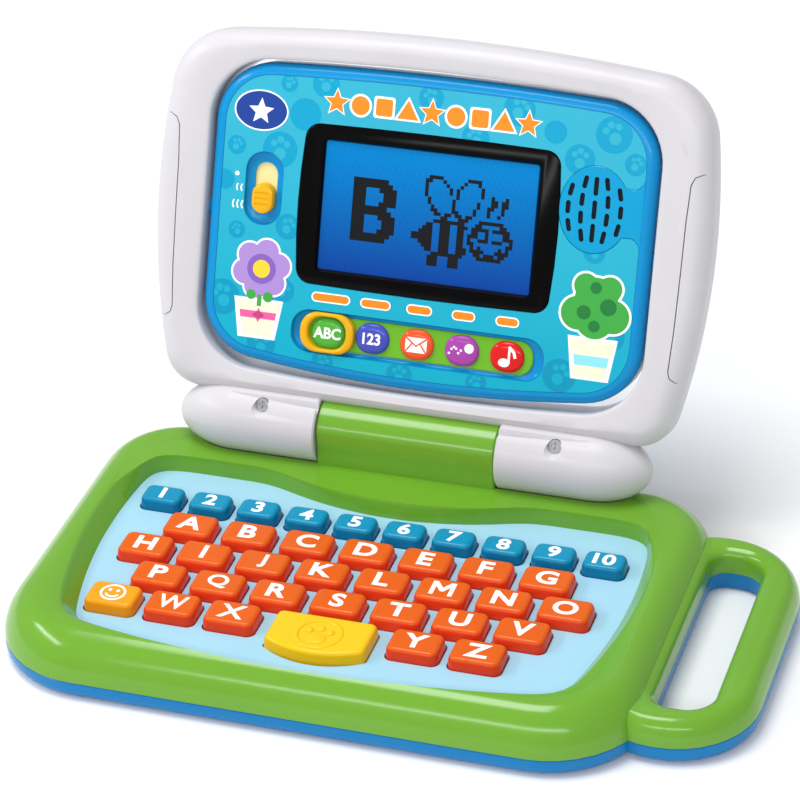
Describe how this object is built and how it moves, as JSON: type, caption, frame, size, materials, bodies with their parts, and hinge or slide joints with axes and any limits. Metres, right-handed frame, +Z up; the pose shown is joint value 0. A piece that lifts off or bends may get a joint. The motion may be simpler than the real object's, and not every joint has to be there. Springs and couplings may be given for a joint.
{
  "type": "toy laptop computer",
  "caption": "Child's toy laptop with sprung letter and number keys, a side carrying handle, and a hinged lid whose screen unit turns over in its frame.",
  "frame": {"origin": "middle of the flat underside of the base, not counting the handle", "axes": "+Z up, +X to the user's right, +Y away from the user, towards the hinge"},
  "size_m": [0.2904, 0.2204, 0.1842],
  "materials": {
    "green_shell": "glossy moulded",
    "blue_shell": "glossy moulded",
    "white_frame": "glossy moulded",
    "unit_blue": "glossy moulded",
    "key_plate": "satin sheet",
    "face_print": "printed and laminated",
    "bezel_black": "gloss black",
    "display": "lit liquid crystal display",
    "number_keys": "moulded",
    "letter_keys": "moulded",
    "smile_key": "moulded",
    "yellow_parts": "moulded",
    "steel": "bright zinc plate",
    "rubber": "moulded silicone",
    "board": "solder mask",
    "cell": "printed sleeve",
    "speaker_black": "paper cone in a steel basket"
  },
  "bodies": {
    "base": {"base_top_shell": "green_shell", "base_bottom_shell": "blue_shell", "keyboard_plate": "key_plate", "dome_sheet": "rubber", "keyboard_board": "board", "battery_door": "blue_shell", "battery_cells": "cell", "battery_contacts": "steel", "case_screws": "steel", "hinge_pins": "steel"},
    "lid": {"lid_front_frame": "white_frame", "lid_rear_frame": "white_frame", "lid_screws": "steel"},
    "screen_unit": {"unit_front_shell": "unit_blue", "unit_rear_shell": "unit_blue", "faceplate": "face_print", "screen_bezel": "bezel_black", "lcd_module": "display", "main_board": "board", "speaker": "speaker_black"},
    "volume": {"volume_knob": "yellow_parts"},
    "mode": {"mode_ring": "yellow_parts"},
    "key_1": {"key_1": "number_keys"},
    "key_2": {"key_2": "number_keys"},
    "key_3": {"key_3": "number_keys"},
    "key_4": {"key_4": "number_keys"},
    "key_5": {"key_5": "number_keys"},
    "key_6": {"key_6": "number_keys"},
    "key_7": {"key_7": "number_keys"},
    "key_8": {"key_8": "number_keys"},
    "key_9": {"key_9": "number_keys"},
    "key_10": {"key_10": "number_keys"},
    "key_a": {"key_a": "letter_keys"},
    "key_b": {"key_b": "letter_keys"},
    "key_c": {"key_c": "letter_keys"},
    "key_d": {"key_d": "letter_keys"},
    "key_e": {"key_e": "letter_keys"},
    "key_f": {"key_f": "letter_keys"},
    "key_g": {"key_g": "letter_keys"},
    "key_h": {"key_h": "letter_keys"},
    "key_i": {"key_i": "letter_keys"},
    "key_j": {"key_j": "letter_keys"},
    "key_k": {"key_k": "letter_keys"},
    "key_l": {"key_l": "letter_keys"},
    "key_m": {"key_m": "letter_keys"},
    "key_n": {"key_n": "letter_keys"},
    "key_o": {"key_o": "letter_keys"},
    "key_p": {"key_p": "letter_keys"},
    "key_q": {"key_q": "letter_keys"},
    "key_r": {"key_r": "letter_keys"},
    "key_s": {"key_s": "letter_keys"},
    "key_t": {"key_t": "letter_keys"},
    "key_u": {"key_u": "letter_keys"},
    "key_v": {"key_v": "letter_keys"},
    "key_w": {"key_w": "letter_keys"},
    "key_x": {"key_x": "letter_keys"},
    "key_y": {"key_y": "letter_keys"},
    "key_z": {"key_z": "letter_keys"},
    "key_smile": {"key_smile": "smile_key"},
    "key_paw": {"key_paw": "yellow_parts"}
  },
  "joints": [
    {"name": "lid_hinge", "type": "hinge", "parent": "base", "child": "lid", "pos_m": [0, 0.07, 0.0355], "axis": [-1, 0, 0], "range_deg": [-111.7, 10]},
    {"name": "screen_flip", "type": "hinge", "parent": "lid", "child": "screen_unit", "pos_m": [0, 0.10199, 0.11129], "axis": [-1, 0, 0], "range_deg": [0, 180]},
    {"name": "volume_slide", "type": "slide", "parent": "screen_unit", "child": "volume", "axis": [0, 0.3697, 0.9291], "range_m": [0, 0.008]},
    {"name": "mode_slide", "type": "slide", "parent": "screen_unit", "child": "mode", "axis": [1, 0, 0], "range_m": [0, 0.0736]},
    {"name": "key_1_press", "type": "slide", "parent": "base", "child": "key_1", "axis": [0, 0, -1], "range_m": [0, 0.002], "stiffness_N_per_m": 200, "springref_m": -0.0005},
    {"name": "key_2_press", "type": "slide", "parent": "base", "child": "key_2", "axis": [0, 0, -1], "range_m": [0, 0.002], "stiffness_N_per_m": 200, "springref_m": -0.0005},
    {"name": "key_3_press", "type": "slide", "parent": "base", "child": "key_3", "axis": [0, 0, -1], "range_m": [0, 0.002], "stiffness_N_per_m": 200, "springref_m": -0.0005},
    {"name": "key_4_press", "type": "slide", "parent": "base", "child": "key_4", "axis": [0, 0, -1], "range_m": [0, 0.002], "stiffness_N_per_m": 200, "springref_m": -0.0005},
    {"name": "key_5_press", "type": "slide", "parent": "base", "child": "key_5", "axis": [0, 0, -1], "range_m": [0, 0.002], "stiffness_N_per_m": 200, "springref_m": -0.0005},
    {"name": "key_6_press", "type": "slide", "parent": "base", "child": "key_6", "axis": [0, 0, -1], "range_m": [0, 0.002], "stiffness_N_per_m": 200, "springref_m": -0.0005},
    {"name": "key_7_press", "type": "slide", "parent": "base", "child": "key_7", "axis": [0, 0, -1], "range_m": [0, 0.002], "stiffness_N_per_m": 200, "springref_m": -0.0005},
    {"name": "key_8_press", "type": "slide", "parent": "base", "child": "key_8", "axis": [0, 0, -1], "range_m": [0, 0.002], "stiffness_N_per_m": 200, "springref_m": -0.0005},
    {"name": "key_9_press", "type": "slide", "parent": "base", "child": "key_9", "axis": [0, 0, -1], "range_m": [0, 0.002], "stiffness_N_per_m": 200, "springref_m": -0.0005},
    {"name": "key_10_press", "type": "slide", "parent": "base", "child": "key_10", "axis": [0, 0, -1], "range_m": [0, 0.002], "stiffness_N_per_m": 200, "springref_m": -0.0005},
    {"name": "key_a_press", "type": "slide", "parent": "base", "child": "key_a", "axis": [0, 0, -1], "range_m": [0, 0.002], "stiffness_N_per_m": 200, "springref_m": -0.0005},
    {"name": "key_b_press", "type": "slide", "parent": "base", "child": "key_b", "axis": [0, 0, -1], "range_m": [0, 0.002], "stiffness_N_per_m": 200, "springref_m": -0.0005},
    {"name": "key_c_press", "type": "slide", "parent": "base", "child": "key_c", "axis": [0, 0, -1], "range_m": [0, 0.002], "stiffness_N_per_m": 200, "springref_m": -0.0005},
    {"name": "key_d_press", "type": "slide", "parent": "base", "child": "key_d", "axis": [0, 0, -1], "range_m": [0, 0.002], "stiffness_N_per_m": 200, "springref_m": -0.0005},
    {"name": "key_e_press", "type": "slide", "parent": "base", "child": "key_e", "axis": [0, 0, -1], "range_m": [0, 0.002], "stiffness_N_per_m": 200, "springref_m": -0.0005},
    {"name": "key_f_press", "type": "slide", "parent": "base", "child": "key_f", "axis": [0, 0, -1], "range_m": [0, 0.002], "stiffness_N_per_m": 200, "springref_m": -0.0005},
    {"name": "key_g_press", "type": "slide", "parent": "base", "child": "key_g", "axis": [0, 0, -1], "range_m": [0, 0.002], "stiffness_N_per_m": 200, "springref_m": -0.0005},
    {"name": "key_h_press", "type": "slide", "parent": "base", "child": "key_h", "axis": [0, 0, -1], "range_m": [0, 0.002], "stiffness_N_per_m": 200, "springref_m": -0.0005},
    {"name": "key_i_press", "type": "slide", "parent": "base", "child": "key_i", "axis": [0, 0, -1], "range_m": [0, 0.002], "stiffness_N_per_m": 200, "springref_m": -0.0005},
    {"name": "key_j_press", "type": "slide", "parent": "base", "child": "key_j", "axis": [0, 0, -1], "range_m": [0, 0.002], "stiffness_N_per_m": 200, "springref_m": -0.0005},
    {"name": "key_k_press", "type": "slide", "parent": "base", "child": "key_k", "axis": [0, 0, -1], "range_m": [0, 0.002], "stiffness_N_per_m": 200, "springref_m": -0.0005},
    {"name": "key_l_press", "type": "slide", "parent": "base", "child": "key_l", "axis": [0, 0, -1], "range_m": [0, 0.002], "stiffness_N_per_m": 200, "springref_m": -0.0005},
    {"name": "key_m_press", "type": "slide", "parent": "base", "child": "key_m", "axis": [0, 0, -1], "range_m": [0, 0.002], "stiffness_N_per_m": 200, "springref_m": -0.0005},
    {"name": "key_n_press", "type": "slide", "parent": "base", "child": "key_n", "axis": [0, 0, -1], "range_m": [0, 0.002], "stiffness_N_per_m": 200, "springref_m": -0.0005},
    {"name": "key_o_press", "type": "slide", "parent": "base", "child": "key_o", "axis": [0, 0, -1], "range_m": [0, 0.002], "stiffness_N_per_m": 200, "springref_m": -0.0005},
    {"name": "key_p_press", "type": "slide", "parent": "base", "child": "key_p", "axis": [0, 0, -1], "range_m": [0, 0.002], "stiffness_N_per_m": 200, "springref_m": -0.0005},
    {"name": "key_q_press", "type": "slide", "parent": "base", "child": "key_q", "axis": [0, 0, -1], "range_m": [0, 0.002], "stiffness_N_per_m": 200, "springref_m": -0.0005},
    {"name": "key_r_press", "type": "slide", "parent": "base", "child": "key_r", "axis": [0, 0, -1], "range_m": [0, 0.002], "stiffness_N_per_m": 200, "springref_m": -0.0005},
    {"name": "key_s_press", "type": "slide", "parent": "base", "child": "key_s", "axis": [0, 0, -1], "range_m": [0, 0.002], "stiffness_N_per_m": 200, "springref_m": -0.0005},
    {"name": "key_t_press", "type": "slide", "parent": "base", "child": "key_t", "axis": [0, 0, -1], "range_m": [0, 0.002], "stiffness_N_per_m": 200, "springref_m": -0.0005},
    {"name": "key_u_press", "type": "slide", "parent": "base", "child": "key_u", "axis": [0, 0, -1], "range_m": [0, 0.002], "stiffness_N_per_m": 200, "springref_m": -0.0005},
    {"name": "key_v_press", "type": "slide", "parent": "base", "child": "key_v", "axis": [0, 0, -1], "range_m": [0, 0.002], "stiffness_N_per_m": 200, "springref_m": -0.0005},
    {"name": "key_w_press", "type": "slide", "parent": "base", "child": "key_w", "axis": [0, 0, -1], "range_m": [0, 0.002], "stiffness_N_per_m": 200, "springref_m": -0.0005},
    {"name": "key_x_press", "type": "slide", "parent": "base", "child": "key_x", "axis": [0, 0, -1], "range_m": [0, 0.002], "stiffness_N_per_m": 200, "springref_m": -0.0005},
    {"name": "key_y_press", "type": "slide", "parent": "base", "child": "key_y", "axis": [0, 0, -1], "range_m": [0, 0.002], "stiffness_N_per_m": 200, "springref_m": -0.0005},
    {"name": "key_z_press", "type": "slide", "parent": "base", "child": "key_z", "axis": [0, 0, -1], "range_m": [0, 0.002], "stiffness_N_per_m": 200, "springref_m": -0.0005},
    {"name": "key_smile_press", "type": "slide", "parent": "base", "child": "key_smile", "axis": [0, 0, -1], "range_m": [0, 0.002], "stiffness_N_per_m": 200, "springref_m": -0.0005},
    {"name": "key_paw_press", "type": "slide", "parent": "base", "child": "key_paw", "axis": [0, 0, -1], "range_m": [0, 0.002], "stiffness_N_per_m": 200, "springref_m": -0.0005}
  ]
}
